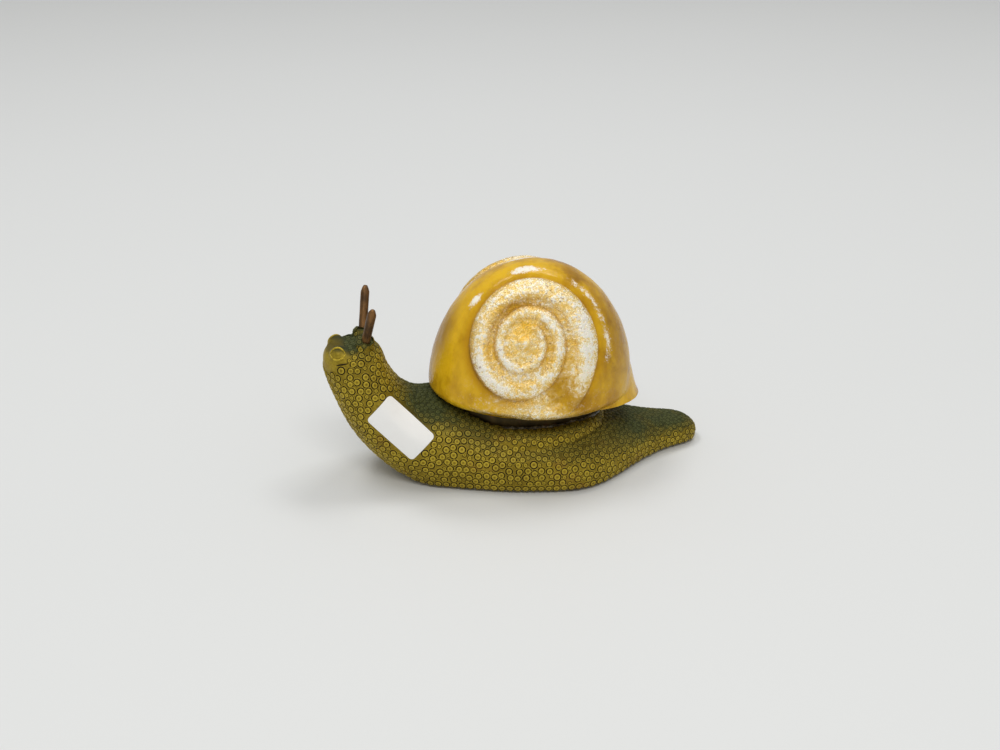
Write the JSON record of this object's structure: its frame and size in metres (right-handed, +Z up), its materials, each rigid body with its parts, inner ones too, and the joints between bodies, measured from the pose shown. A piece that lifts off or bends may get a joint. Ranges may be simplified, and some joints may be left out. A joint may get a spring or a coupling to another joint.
{
  "type": "snail figurine",
  "caption": "Snail figurine: a hollow cast metal body with ringed skin and peg horns, and a separate glass spiral shell that lifts off an oval collar on its back.",
  "frame": {"origin": "on the floor, directly below the middle of the collar's rim", "axes": "+Z up, -X towards the head, +X towards the tail, -Y towards the side with the label"},
  "size_m": [0.2477, 0.1122, 0.1355],
  "materials": {
    "cast_metal": "olive-gold patina, dark green on top, worn bright on the raised rings",
    "collar_metal": "dull brown, smooth",
    "solder": "dull grey, lumpy",
    "shell_glass": "amber and cream, pearly, glossy, not see-through",
    "horn_metal": "brown patina",
    "label_paper": "matt white, blank",
    "felt": "dark green felt"
  },
  "bodies": {
    "snail_body": {"body_casting": "cast_metal", "shell_collar": "collar_metal", "collar_solder": "solder", "left_horn": "horn_metal", "right_horn": "horn_metal", "paper_label": "label_paper", "base_pad": "felt"},
    "shell": {"shell": "shell_glass"}
  },
  "joints": [
    {"name": "shell_lift", "type": "slide", "parent": "snail_body", "child": "shell", "axis": [0.0436, 0, 0.999], "range_m": [0, 0.06]}
  ]
}
